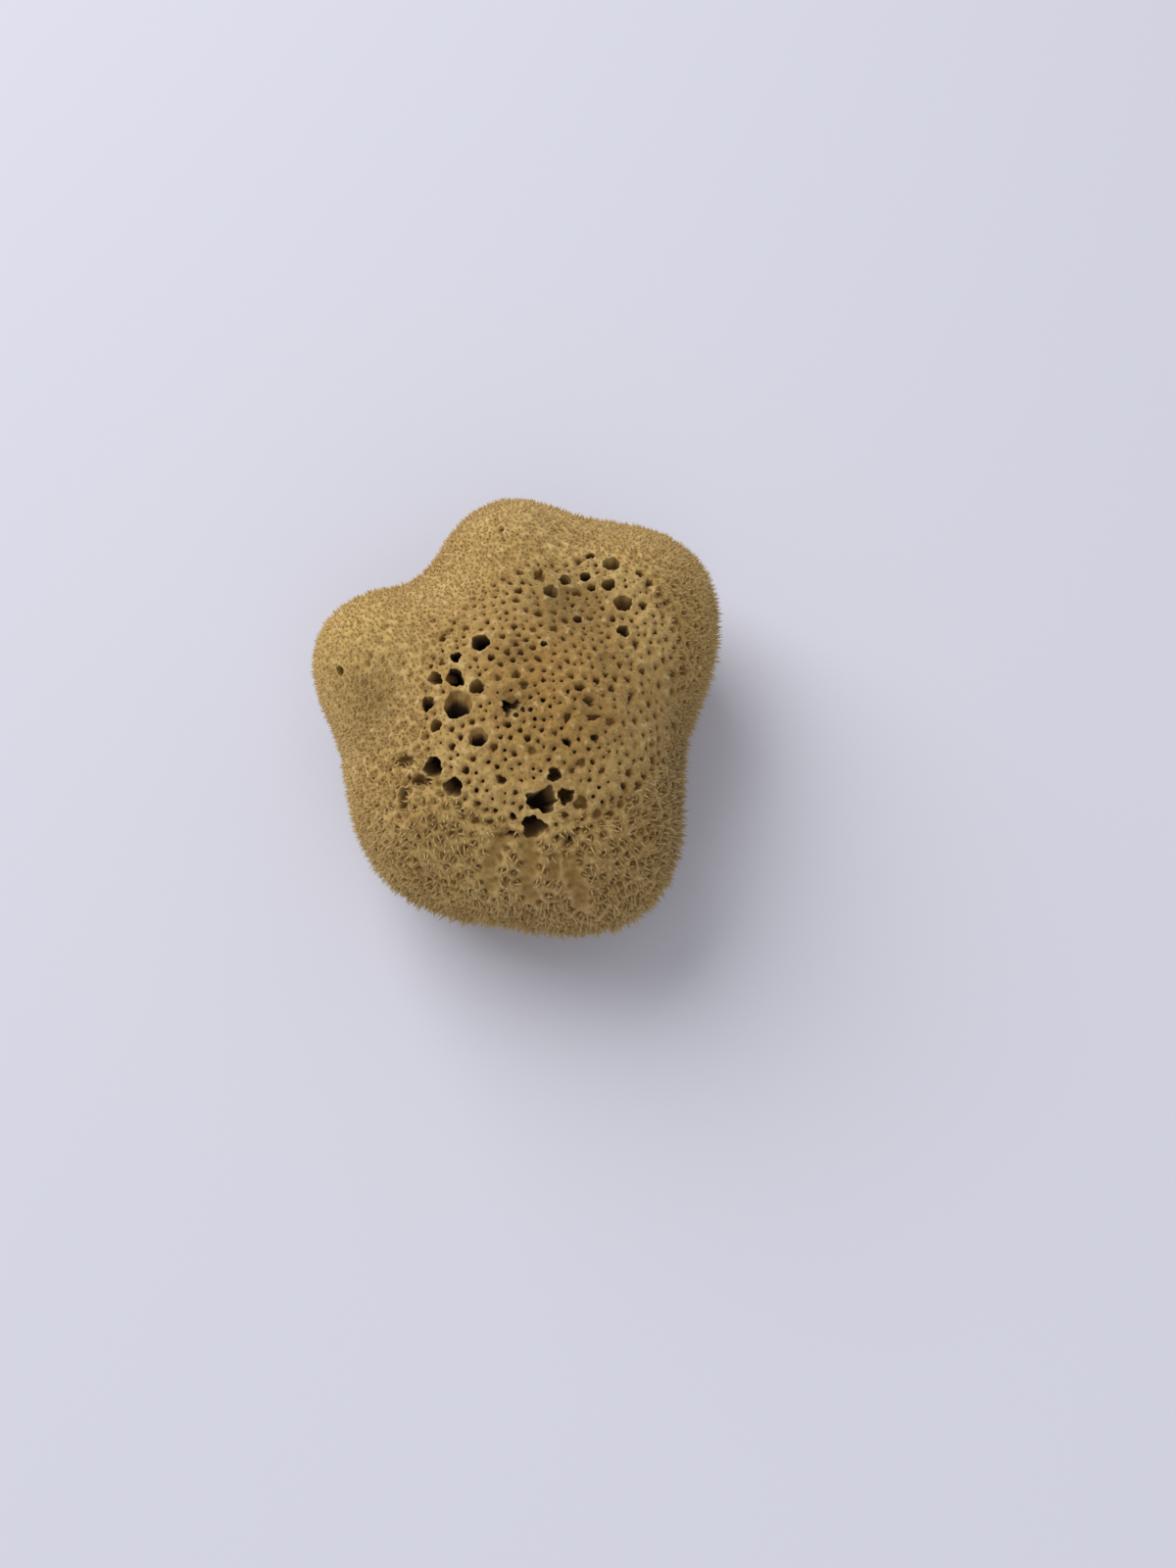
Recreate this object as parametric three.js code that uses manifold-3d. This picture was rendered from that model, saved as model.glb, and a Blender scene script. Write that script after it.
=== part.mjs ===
// A natural bath sponge: one lobed body with a fuzzy skin, a field of water outlets and pores on its
// crown, and a flat cut underneath where it was taken off the rock. It rests on that cut.
// Millimetres, +Z up, origin on the cut face under the middle of the lobes.
import * as THREE from "three";
import { mergeVertices } from "three/addons/utils/BufferGeometryUtils.js";
import Module from "manifold-3d";

// Driving dimensions of the body, in millimetres and degrees
const CORE_RADIUS = 45;
const MIDDLE_HEIGHT = 30;
const CROWN_RISE = 42;
const UNDERSIDE_DROP = 38;
const FULLNESS = 0.8;
const SKIN_DETAIL = 16;

// Lobes round the body: where each points in plan, how far it reaches past the core, how wide it is
const LOBES = [
  { name: "right shoulder", azimuth: 47, reach: 30, spread: 36 },
  { name: "far lobe", azimuth: 98, reach: 22.5, spread: 22 },
  { name: "left lobe", azimuth: 157, reach: 20, spread: 26 },
  { name: "near left lobe", azimuth: 238, reach: 15.5, spread: 42 },
  { name: "near right lobe", azimuth: 302, reach: 20.5, spread: 31 },
];

// Swells and hollows of the crown: plan place, rise of its middle (negative sinks) and reach
const SWELLS = [
  { name: "left knob", x: -44, y: 17, rise: 6, reach: 15 },
  { name: "far knob", x: 0, y: 52, rise: 5, reach: 14 },
  { name: "shoulder knob", x: 42, y: 38, rise: 5, reach: 17 },
  { name: "pored swell", x: 19, y: -12, rise: 2.5, reach: 15 },
  { name: "near swell", x: -24, y: -40, rise: 3, reach: 14 },
  { name: "left valley", x: -36, y: -8, rise: -4, reach: 11 },
  { name: "far valley", x: -24, y: 34, rise: -3, reach: 13 },
  { name: "outlet hollow", x: 17, y: 22, rise: -3.5, reach: 12 },
];
const SWELL_FADE = 0.35;

// Water outlets: plan place and radius of the mouth, and depth of the canal
const OUTLETS = [
  { x: -8.5, y: 6.5, radius: 2.5, depth: 20 },
  { x: -14, y: -11, radius: 3.9, depth: 24 },
  { x: -9, y: -6.5, radius: 2, depth: 7 },
  { x: -15, y: -3.5, radius: 2.2, depth: 12 },
  { x: -20.5, y: -3, radius: 1.8, depth: 9 },
  { x: -15, y: 2.5, radius: 1.6, depth: 8 },
  { x: -22.5, y: -9.5, radius: 2.1, depth: 6 },
  { x: -20, y: -16, radius: 1.8, depth: 8 },
  { x: -8.5, y: -20, radius: 2.6, depth: 14 },
  { x: -20.5, y: -27, radius: 2.7, depth: 15 },
  { x: -15, y: -32.5, radius: 2.6, depth: 9 },
  { x: -1, y: -11.5, radius: 2.6, depth: 12 },
  { x: 8.5, y: -35.5, radius: 3.2, depth: 18 },
  { x: 14.5, y: -34.5, radius: 2.2, depth: 8 },
  { x: 6, y: -42, radius: 3.2, depth: 16 },
  { x: 11.5, y: -29.5, radius: 1.9, depth: 8 },
  { x: 21, y: 38.5, radius: 1.4, depth: 8 },
  { x: 27, y: 35.5, radius: 2.6, depth: 9 },
  { x: 26, y: 28, radius: 2, depth: 9 },
  { x: 30, y: 22, radius: 2.6, depth: 9 },
  { x: 19.5, y: 31, radius: 1.6, depth: 12 },
  { x: 14, y: 29.5, radius: 1.8, depth: 8 },
  { x: 10, y: 25, radius: 2.2, depth: 8 },
  { x: 30, y: 13, radius: 1.9, depth: 14 },
  { x: 17.5, y: 16, radius: 1.4, depth: 12 },
  { x: -49, y: 5, radius: 1.6, depth: 7 },
];
const OUTLET_SIDES = 10;
const OUTLET_TAPER = 0.7;

// Small pores of the crown, scattered in a golden-angle spiral over an oval field. The tufts grow from
// short to long between the inner and the outer share of its size.
const PORE_FIELD = { x: 11, y: -4, halfWidth: 33, halfLength: 37, inner: 0.8, outer: 1.2 };
const PORE_COUNT = 58;
const PORE_SIDES = 6;
const PORE_RADIUS = { least: 0.8, most: 1.5 };
const PORE_DEPTH = 5;
const PORE_WALL = 1.3;
const PORE_JITTER = 0.5;

// Furrows that fan out down the near flank from the outlets: plan place of the middle, half length
const FURROW_ORIGIN = { x: 4, y: -30 };
const FURROWS = [
  { x: -4.5, y: -49.5, halfLength: 8 },
  { x: 4.6, y: -51.5, halfLength: 8 },
  { x: 11.3, y: -51, halfLength: 4 },
  { x: 17.2, y: -54.5, halfLength: 7 },
];
const FURROW_SECTION = { halfWidth: 1.8, depth: 1.1 };
const FURROW_SIDES = 8;
const FURROW_RINGS = 6;

// Canals that the cut lays open underneath: place on the cut face and radius
const CUT_CANALS = [
  { x: 17, y: 9, radius: 3 },
  { x: -19, y: 12, radius: 2.4 },
  { x: 6, y: -21, radius: 3.4 },
  { x: -24, y: -14, radius: 2 },
  { x: 29, y: -9, radius: 2.2 },
  { x: 4, y: 31, radius: 2.4 },
];
const CUT_CANAL_DEPTH = 7;

// Tufts of the skin: how far they rise and sink on the flanks, and on the smoother crown field
const TUFT_RISE = 1.8;
const TUFT_SINK = 0.7;
const TUFT_SHARPNESS = 1.5;
const CROWN_TUFT_SHARE = 0.35;

const SPONGE_COLOUR = 0xc0a06a;
const SPONGE_ROUGHNESS = 0.95;

// How canals overshoot the skin, how large the block below the cut is, and how finely points are found
const OVERCUT = 6;
const ROOM = 400;
const HALVINGS = 40;
const SLOPE_STEP = 1;
const WELD = 1e-4;
const GOLDEN_ANGLE = Math.PI * (3 - Math.sqrt(5));
const UP = new THREE.Vector3(0, 0, 1);

// What a repeatable chance is drawn for
const DRAWS = ["tuft height", "pore turn", "pore radius"];

const wasm = await Module();
wasm.setup();

// A repeatable number from 0 to 1 for the index-th tuft or pore, a different one for each kind of draw.
function chance(index, draw) {
  return THREE.MathUtils.seededRandom(index * DRAWS.length + DRAWS.indexOf(draw));
}

// How far the lobes reach past the core at an azimuth in radians.
function lobeReach(azimuth) {
  let reach = 0;
  for (const lobe of LOBES) {
    const turn = azimuth - THREE.MathUtils.degToRad(lobe.azimuth);
    const nearest = Math.atan2(Math.sin(turn), Math.cos(turn));
    const share = nearest / THREE.MathUtils.degToRad(lobe.spread);
    reach += lobe.reach * Math.exp(-share * share);
  }
  return reach;
}

// Rise of the crown's swells and hollows above the smooth dome at a plan place.
function swellRise(x, y) {
  let rise = 0;
  for (const swell of SWELLS) {
    const share = Math.hypot(x - swell.x, y - swell.y) / swell.reach;
    rise += swell.rise * Math.exp(-share * share);
  }
  return rise;
}

// The body's radius in plan where the level share runs from 0 at the crown to 1 at the middle.
function planRadius(azimuth, level) {
  return (CORE_RADIUS + lobeReach(azimuth) * level ** 2) * level ** FULLNESS;
}

// The point of the smooth body in a direction from its middle.
function bodyPoint(direction) {
  const azimuth = Math.atan2(direction.y, direction.x);
  const level = Math.min(1, Math.hypot(direction.x, direction.y));
  const radius = planRadius(azimuth, level);
  const x = radius * Math.cos(azimuth);
  const y = radius * Math.sin(azimuth);
  const climb = Math.abs(direction.z) ** FULLNESS;
  const dome = direction.z > 0 ? CROWN_RISE * climb : -UNDERSIDE_DROP * climb;
  const fade = THREE.MathUtils.smoothstep(direction.z, 0, SWELL_FADE);
  return new THREE.Vector3(x, y, MIDDLE_HEIGHT + dome + fade * swellRise(x, y));
}

// The point of the crown above a plan place, found by halving the level share.
function crownPoint(x, y) {
  const azimuth = Math.atan2(y, x);
  let low = 0;
  let high = 1;
  for (let step = 0; step < HALVINGS; step += 1) {
    const level = (low + high) / 2;
    if (planRadius(azimuth, level) < Math.hypot(x, y)) low = level;
    else high = level;
  }
  const climb = Math.sqrt(1 - low * low);
  return bodyPoint(new THREE.Vector3(low * Math.cos(azimuth), low * Math.sin(azimuth), climb));
}

// The outward normal of the crown above a plan place.
function crownNormal(x, y) {
  const here = crownPoint(x, y);
  const along = crownPoint(x + SLOPE_STEP, y).sub(here);
  const across = crownPoint(x, y + SLOPE_STEP).sub(here);
  return along.cross(across).normalize();
}

// A closed three.js geometry as a solid that can be joined and cut.
function toSolid(geometry) {
  const bare = new THREE.BufferGeometry();
  const loose = geometry.index ? geometry.toNonIndexed() : geometry;
  bare.setAttribute("position", loose.getAttribute("position"));
  const merged = mergeVertices(bare, WELD);
  return new wasm.Manifold(
    new wasm.Mesh({
      numProp: 3,
      vertProperties: merged.getAttribute("position").array,
      triVerts: new Uint32Array(merged.index.array),
    }),
  );
}

// A solid as a three.js geometry.
function toGeometry(solid) {
  const mesh = solid.getMesh();
  const geometry = new THREE.BufferGeometry();
  geometry.setAttribute("position", new THREE.BufferAttribute(mesh.vertProperties, 3));
  geometry.setIndex(new THREE.BufferAttribute(mesh.triVerts, 1));
  geometry.computeVertexNormals();
  return geometry;
}

// How much of its full height a tuft has: little on the pored crown, all of it on the flanks.
function tuftShare(point) {
  const across = (point.x - PORE_FIELD.x) / PORE_FIELD.halfWidth;
  const along = (point.y - PORE_FIELD.y) / PORE_FIELD.halfLength;
  const outside = THREE.MathUtils.smoothstep(Math.hypot(across, along), PORE_FIELD.inner, PORE_FIELD.outer);
  const share = CROWN_TUFT_SHARE + (1 - CROWN_TUFT_SHARE) * outside;
  return point.z > MIDDLE_HEIGHT ? share : 1;
}

// The tufted skin of the whole body, before anything is cut out of it.
function skinGeometry() {
  const ball = new THREE.IcosahedronGeometry(1, SKIN_DETAIL);
  ball.deleteAttribute("normal");
  ball.deleteAttribute("uv");
  const skin = mergeVertices(ball, WELD);
  const place = skin.getAttribute("position");
  const middle = new THREE.Vector3(0, 0, MIDDLE_HEIGHT);
  for (let i = 0; i < place.count; i += 1) {
    const point = bodyPoint(new THREE.Vector3().fromBufferAttribute(place, i));
    const outward = point.clone().sub(middle).normalize();
    const height = chance(i, "tuft height") ** TUFT_SHARPNESS;
    const relief = THREE.MathUtils.lerp(-TUFT_SINK, TUFT_RISE, height);
    point.addScaledVector(outward, relief * tuftShare(point));
    place.setXYZ(i, point.x, point.y, point.z);
  }
  return skin;
}

// A tapered plug that cuts a canal of that depth into the crown, square to the surface.
function canalGeometry({ x, y, radius, depth }, sides) {
  const length = depth + OVERCUT;
  const foot = radius * OUTLET_TAPER;
  const plug = new THREE.CylinderGeometry(radius, foot, length, sides);
  plug.translate(0, length / 2 - depth, 0);
  plug.rotateX(Math.PI / 2);
  const turn = new THREE.Quaternion().setFromUnitVectors(UP, crownNormal(x, y));
  plug.applyQuaternion(turn);
  const mouth = crownPoint(x, y);
  return plug.translate(mouth.x, mouth.y, mouth.z);
}

// The pores of the crown that keep a wall between themselves and every outlet.
function pores() {
  const made = [];
  for (let i = 0; i < PORE_COUNT; i += 1) {
    const reach = Math.sqrt((i + 0.5) / PORE_COUNT);
    const azimuth = i * GOLDEN_ANGLE + PORE_JITTER * chance(i, "pore turn");
    const x = PORE_FIELD.x + PORE_FIELD.halfWidth * reach * Math.cos(azimuth);
    const y = PORE_FIELD.y + PORE_FIELD.halfLength * reach * Math.sin(azimuth);
    const radius = THREE.MathUtils.lerp(PORE_RADIUS.least, PORE_RADIUS.most, chance(i, "pore radius"));
    const clear = (outlet) =>
      Math.hypot(x - outlet.x, y - outlet.y) > outlet.radius + radius + PORE_WALL;
    if (OUTLETS.every(clear)) made.push({ x, y, radius, depth: PORE_DEPTH });
  }
  return made;
}

// A long low oval that presses a furrow into the near flank, pointing away from the outlets.
function furrowGeometry({ x, y, halfLength }) {
  const oval = new THREE.SphereGeometry(1, FURROW_SIDES, FURROW_RINGS);
  oval.scale(FURROW_SECTION.halfWidth, halfLength, FURROW_SECTION.depth);
  const normal = crownNormal(x, y);
  const away = new THREE.Vector3(x - FURROW_ORIGIN.x, y - FURROW_ORIGIN.y, 0);
  const side = new THREE.Vector3().crossVectors(away, normal).normalize();
  const down = new THREE.Vector3().crossVectors(normal, side);
  oval.applyMatrix4(new THREE.Matrix4().makeBasis(side, down, normal));
  const middle = crownPoint(x, y);
  return oval.translate(middle.x, middle.y, middle.z);
}

// An upright plug that opens a canal in the cut face.
function cutCanalGeometry({ x, y, radius }) {
  const plug = new THREE.CylinderGeometry(radius, radius, 2 * CUT_CANAL_DEPTH, OUTLET_SIDES);
  return plug.rotateX(Math.PI / 2).translate(x, y, 0);
}

// Everything below the cut, as one block.
function rockGeometry() {
  return new THREE.BoxGeometry(ROOM, ROOM, ROOM).translate(0, 0, -ROOM / 2);
}

// The whole sponge as one solid.
function spongeSolid() {
  const cutters = [
    rockGeometry(),
    ...OUTLETS.map((outlet) => canalGeometry(outlet, OUTLET_SIDES)),
    ...pores().map((pore) => canalGeometry(pore, PORE_SIDES)),
    ...FURROWS.map(furrowGeometry),
    ...CUT_CANALS.map(cutCanalGeometry),
  ];
  let solid = toSolid(skinGeometry());
  for (const cutter of cutters) solid = solid.subtract(toSolid(cutter));
  return solid;
}

const spongeMaterial = new THREE.MeshStandardMaterial({
  color: SPONGE_COLOUR,
  roughness: SPONGE_ROUGHNESS,
  metalness: 0,
});
const sponge = new THREE.Mesh(toGeometry(spongeSolid()), spongeMaterial);
sponge.name = "sponge";

const seaSponge = new THREE.Group();
seaSponge.add(sponge);

export default seaSponge;
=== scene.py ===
"""Looks of a natural bath sponge: its pored body, its tufted coat and its fibres, on a pale floor."""

import logging
import math
from dataclasses import dataclass
from enum import Enum
from typing import Union

import bmesh
import bpy
import numpy as np
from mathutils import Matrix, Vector, kdtree, noise


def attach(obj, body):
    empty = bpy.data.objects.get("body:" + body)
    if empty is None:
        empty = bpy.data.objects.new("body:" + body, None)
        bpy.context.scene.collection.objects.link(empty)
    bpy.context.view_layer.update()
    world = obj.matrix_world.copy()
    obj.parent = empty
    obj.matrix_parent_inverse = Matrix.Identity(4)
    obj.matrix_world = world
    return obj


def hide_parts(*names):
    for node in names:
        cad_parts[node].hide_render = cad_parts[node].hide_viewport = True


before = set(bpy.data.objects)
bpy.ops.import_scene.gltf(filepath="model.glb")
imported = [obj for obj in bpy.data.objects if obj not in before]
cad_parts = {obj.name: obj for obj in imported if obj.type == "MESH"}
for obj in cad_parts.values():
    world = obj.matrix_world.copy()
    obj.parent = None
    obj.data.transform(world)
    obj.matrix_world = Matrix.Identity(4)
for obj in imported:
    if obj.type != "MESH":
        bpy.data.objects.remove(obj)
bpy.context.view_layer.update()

LOG = logging.getLogger("sponge")
MM = 0.001
CAD_NODE = "sponge"
CAD_BODY = "root"
BAKE_MAP = "OFBake"
# Mesh attribute holding the painted shade of low spots, pits and canals; its negative values hold painted
# highlights on raised grain.
SHADE_DEPTH = "depth"
RISE = "rise"

# Waves round a ragged rim: how many go round, how high they are, and how far each mouth turns them.
RIM_WAVES = ((3, 1.0, 1.0), (5, 0.7, 2.3), (9, 0.5, 4.1))

# How late along its length a spike bends, and the free edge of its cell on the map.
BEND_POWER = 1.6
CELL_EDGE = 0.1

Colour = tuple[float, float, float, float]


def smoothstep(share: np.ndarray) -> np.ndarray:
    """Returns the share held to 0 to 1, with a soft start and end."""
    held = np.clip(share, 0.0, 1.0)
    return held * held * (3.0 - 2.0 * held)


def unit(vectors: np.ndarray) -> np.ndarray:
    """Returns rows of vectors scaled to length one."""
    return vectors / np.maximum(np.linalg.norm(vectors, axis=-1, keepdims=True), 1e-12)


def srgb(red: int, green: int, blue: int) -> Colour:
    """Returns a screen colour, each part 0 to 255, as the linear colour that a shader takes."""
    parts = [part / 255 for part in (red, green, blue)]
    linear = [p / 12.92 if p <= 0.04045 else ((p + 0.055) / 1.055) ** 2.4 for p in parts]
    return (*linear, 1.0)


@dataclass(frozen=True)
class Lobe:
    """A lobe of the body in plan: where it points, its reach past the core, and its spread in degrees."""

    azimuth: float
    reach: float
    spread: float


@dataclass(frozen=True)
class Swell:
    """A swell of the crown, or a hollow where its rise is negative."""

    x: float
    y: float
    rise: float
    reach: float


@dataclass(frozen=True)
class Furrow:
    """A smooth furrow in the near flank: the plan places along it and half its width."""

    path: tuple[tuple[float, float], ...]
    half_width: float


@dataclass(frozen=True)
class PoreField:
    """The oval of the crown that is nearly bare of tufts and full of small pores.

    Its length is turned from the y axis by the slant, in degrees.
    """

    x: float = 12.5
    y: float = -4.0
    half_width: float = 32.0
    half_length: float = 40.0
    slant: float = -28.0
    inner: float = 0.8
    outer: float = 1.2

    def reach(self, x: np.ndarray, y: np.ndarray) -> np.ndarray:
        """Returns how far out in the oval a plan place is, with 1 on its edge."""
        turn = math.radians(self.slant)
        across = (x - self.x) * math.cos(turn) + (y - self.y) * math.sin(turn)
        along = (y - self.y) * math.cos(turn) - (x - self.x) * math.sin(turn)
        return np.hypot(across / self.half_width, along / self.half_length)

    def place(self, reach: float, azimuth: float) -> tuple[float, float]:
        """Returns the plan place that far out in the oval, in a direction in radians."""
        turn = math.radians(self.slant)
        across = self.half_width * reach * math.cos(azimuth)
        along = self.half_length * reach * math.sin(azimuth)
        x = self.x + across * math.cos(turn) - along * math.sin(turn)
        return x, self.y + across * math.sin(turn) + along * math.cos(turn)


@dataclass(frozen=True)
class SpongeForm:
    """The smooth lobed body that everything else grows on, in millimetres."""

    core_radius: float = 45.0
    middle_height: float = 30.0
    crown_rise: float = 42.0
    underside_drop: float = 38.0
    fullness: float = 0.8
    swell_fade: float = 0.35
    least_shag: float = 0.46
    shag_x: float = 0.6
    shag_y: float = -0.8
    shag_shift: float = 25.0
    shag_run: float = 60.0
    shag_top: float = 34.0
    shag_drop: float = 18.0
    field: PoreField = PoreField()
    lobes: tuple[Lobe, ...] = (
        Lobe(47, 30, 36),
        Lobe(98, 22.5, 22),
        Lobe(157, 20, 26),
        Lobe(238, 15.5, 42),
        Lobe(302, 20.5, 31),
    )
    swells: tuple[Swell, ...] = (
        Swell(-44, 17, 6, 15),
        Swell(0, 52, 5, 14),
        Swell(42, 38, 5, 17),
        Swell(19, -12, 2.5, 15),
        Swell(-24, -40, 3, 14),
        Swell(-36, -8, -4, 11),
        Swell(-24, 34, -3, 13),
        Swell(17, 22, -3.5, 12),
        Swell(1.2, -11.5, -2.8, 3.2),
        Swell(25.7, 3.0, -1.3, 2.8),
    )
    furrows: tuple[Furrow, ...] = (
        Furrow(((-1.3, -43.5), (-4.1, -47.1), (-6.3, -51.2), (-6.2, -55.0)), 2.1),
        Furrow(((4.6, -45.6), (5.0, -50.0), (3.6, -53.5), (5.1, -57.5)), 2.2),
        Furrow(((11.7, -49.0), (10.9, -53.3)), 1.6),
        Furrow(((15.7, -49.9), (16.0, -52.9), (18.4, -56.4), (18.8, -59.1)), 2.1),
    )

    def plan_radius(self, azimuth: np.ndarray, level: np.ndarray) -> np.ndarray:
        """Works out the body's radius in plan.

        Args:
            azimuth: Directions in plan, in radians.
            level: Shares from 0 at the crown to 1 at the widest girth.

        Returns:
            The radii in millimetres.
        """
        reach = np.zeros_like(azimuth)
        for lobe in self.lobes:
            turn = azimuth - math.radians(lobe.azimuth)
            nearest = np.arctan2(np.sin(turn), np.cos(turn))
            reach += lobe.reach * np.exp(-((nearest / math.radians(lobe.spread)) ** 2))
        return (self.core_radius + reach * level**2) * level**self.fullness

    def swell_rise(self, x: np.ndarray, y: np.ndarray) -> np.ndarray:
        """Returns the rise of the swells and hollows above the smooth dome at plan places."""
        rise = np.zeros_like(x)
        for swell in self.swells:
            rise += swell.rise * np.exp(-(((x - swell.x) ** 2 + (y - swell.y) ** 2) / swell.reach**2))
        return rise

    def points(self, directions: np.ndarray) -> np.ndarray:
        """Finds the points of the body in given directions.

        Args:
            directions: Rows of unit vectors from the body's middle.

        Returns:
            Rows of points in millimetres.
        """
        azimuth = np.arctan2(directions[:, 1], directions[:, 0])
        level = np.minimum(1.0, np.hypot(directions[:, 0], directions[:, 1]))
        radius = self.plan_radius(azimuth, level)
        x = radius * np.cos(azimuth)
        y = radius * np.sin(azimuth)
        climb = np.abs(directions[:, 2]) ** self.fullness
        dome = np.where(directions[:, 2] > 0, self.crown_rise, -self.underside_drop) * climb
        fade = smoothstep(directions[:, 2] / self.swell_fade)
        return np.stack([x, y, self.middle_height + dome + fade * self.swell_rise(x, y)], axis=1)

    def crown_points(self, plan: np.ndarray, halvings: int = 40) -> np.ndarray:
        """Finds the crown above plan places by halving the level share.

        Args:
            plan: Rows of x and y in millimetres.
            halvings: How often the share is halved.

        Returns:
            Rows of points on the crown.
        """
        azimuth = np.arctan2(plan[:, 1], plan[:, 0])
        wanted = np.hypot(plan[:, 0], plan[:, 1])
        low = np.zeros(len(plan))
        high = np.ones(len(plan))
        for _ in range(halvings):
            level = (low + high) / 2
            short = self.plan_radius(azimuth, level) < wanted
            low = np.where(short, level, low)
            high = np.where(short, high, level)
        climb = np.sqrt(1 - low**2)
        return self.points(np.stack([low * np.cos(azimuth), low * np.sin(azimuth), climb], axis=1))

    def crown_normals(self, plan: np.ndarray, step: float = 1.0) -> np.ndarray:
        """Returns the outward normals of the crown above plan places, from steps that long each way."""
        here = self.crown_points(plan)
        along = self.crown_points(plan + [step, 0.0]) - here
        across = self.crown_points(plan + [0.0, step]) - here
        return unit(np.cross(along, across))

    def shag(self, points: np.ndarray) -> np.ndarray:
        """Returns the share of their full length that tufts have: short at the far left, long elsewhere."""
        along = self.shag_x * points[:, 0] + self.shag_y * points[:, 1]
        towards = (along + self.shag_shift) / self.shag_run
        below = (self.shag_top - points[:, 2]) / self.shag_drop
        return self.least_shag + (1.0 - self.least_shag) * smoothstep(np.maximum(towards, below))

    def furrow_share(self, points: np.ndarray) -> np.ndarray:
        """Returns 1 in the middle of a furrow, fading to 0 beside it."""
        share = np.zeros(len(points))
        for furrow in self.furrows:
            path = self.crown_points(np.array(furrow.path))
            for start, end in zip(path[:-1], path[1:]):
                run = end - start
                along = np.clip((points - start) @ run / (run @ run), 0.0, 1.0)
                gap = np.linalg.norm(points - start - along[:, None] * run, axis=1)
                share = np.maximum(share, np.exp(-((gap / furrow.half_width) ** 4)))
        return share

    def bareness(self, points: np.ndarray) -> np.ndarray:
        """Returns 1 where the crown is bare and pored, 0 where the coat of tufts is full."""
        reach = self.field.reach(points[:, 0], points[:, 1])
        inside = 1.0 - smoothstep((reach - self.field.inner) / (self.field.outer - self.field.inner))
        return np.where(points[:, 2] > self.middle_height, inside, 0.0)


@dataclass(frozen=True)
class BoreShape:
    """How a mouth goes down, how far its lip stands up or sinks, and where its painted shade deepens.

    Each step is a share of the depth and the share of the mouth's width there. From a share of its depth
    the painted shade inside the mouth builds faster.
    """

    steps: tuple[tuple[float, float], ...]
    lip: float
    shade_from: float = 1.0


class Bore(Enum):
    """The kinds of mouth: deep outlets, outlets with a ledge inside, small pores, shallow dishes."""

    OUTLET = BoreShape(((0.03, 1.04), (0.12, 1.1), (0.35, 1.04), (0.7, 0.9), (1.0, 0.6)), 0.12, 0.5)
    LEDGE = BoreShape(
        ((0.03, 1.03), (0.08, 1.0), (0.1, 0.84), (0.14, 0.86), (0.6, 0.8), (1.0, 0.5)), 0.1, 0.1
    )
    PORE = BoreShape(((0.3, 0.94), (1.0, 0.55)), -0.42, 0.3)
    DISH = BoreShape(((0.4, 0.93), (0.8, 0.78), (1.0, 0.5)), -0.4)


class Face(Enum):
    """Which face of the sponge a mouth opens in."""

    CROWN = 1
    CUT = -1


@dataclass(frozen=True)
class Mouth:
    """An opening in the skin: its plan place and size, how it goes down and how ragged its rim is.

    The lean is how far its canal runs sideways for each millimetre down. A stretched mouth is that many
    times longer than wide, along a line turned by some degrees from the x axis.
    """

    x: float
    y: float
    radius: float
    depth: float
    lean: tuple[float, float] = (0.0, 0.0)
    stretch: float = 1.0
    turn: float = 0.0
    ragged: float = 0.1
    bore: Bore = Bore.OUTLET
    face: Face = Face.CROWN


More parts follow.
